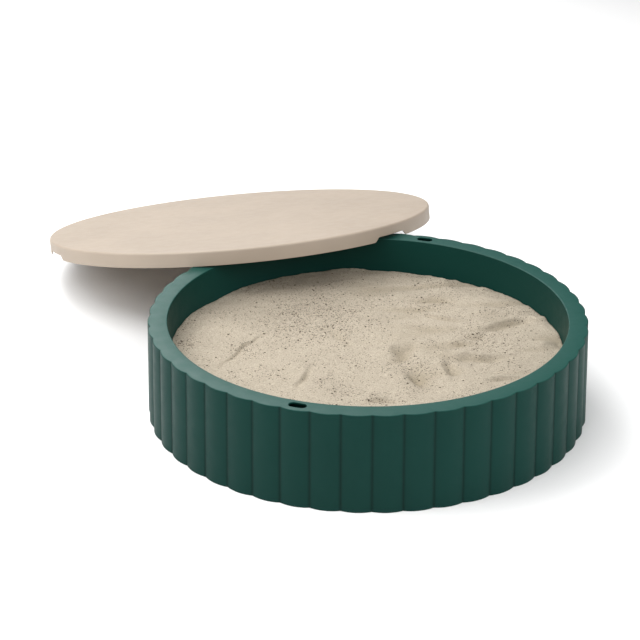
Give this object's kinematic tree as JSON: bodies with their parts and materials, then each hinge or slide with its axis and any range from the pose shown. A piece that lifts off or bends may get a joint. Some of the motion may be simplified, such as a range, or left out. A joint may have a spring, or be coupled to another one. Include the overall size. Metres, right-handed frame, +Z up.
{
  "type": "sandbox with cover",
  "caption": "Round sandbox with a fluted wall and a flat rim, filled with sand, and a loose round cover with hand notches that leans on its rim.",
  "frame": {"origin": "centre of the box's base, on the floor", "axes": "+Z up; +Y from the box towards the low edge of the leaning cover, along the cover's slope; +X to the right when looking along +Y"},
  "size_m": [0.9438, 1.6399, 0.2474],
  "materials": {
    "box_plastic": "matte",
    "sand": "matte",
    "cover_plastic": "matte"
  },
  "bodies": {
    "box": {"sandbox_box": "box_plastic", "sand": "sand"},
    "cover": {"cover": "cover_plastic"}
  },
  "joints": [
    {"name": "cover_lift", "type": "slide", "parent": "box", "child": "cover", "axis": [0, 0, 1], "range_m": [0, 0.35]}
  ]
}
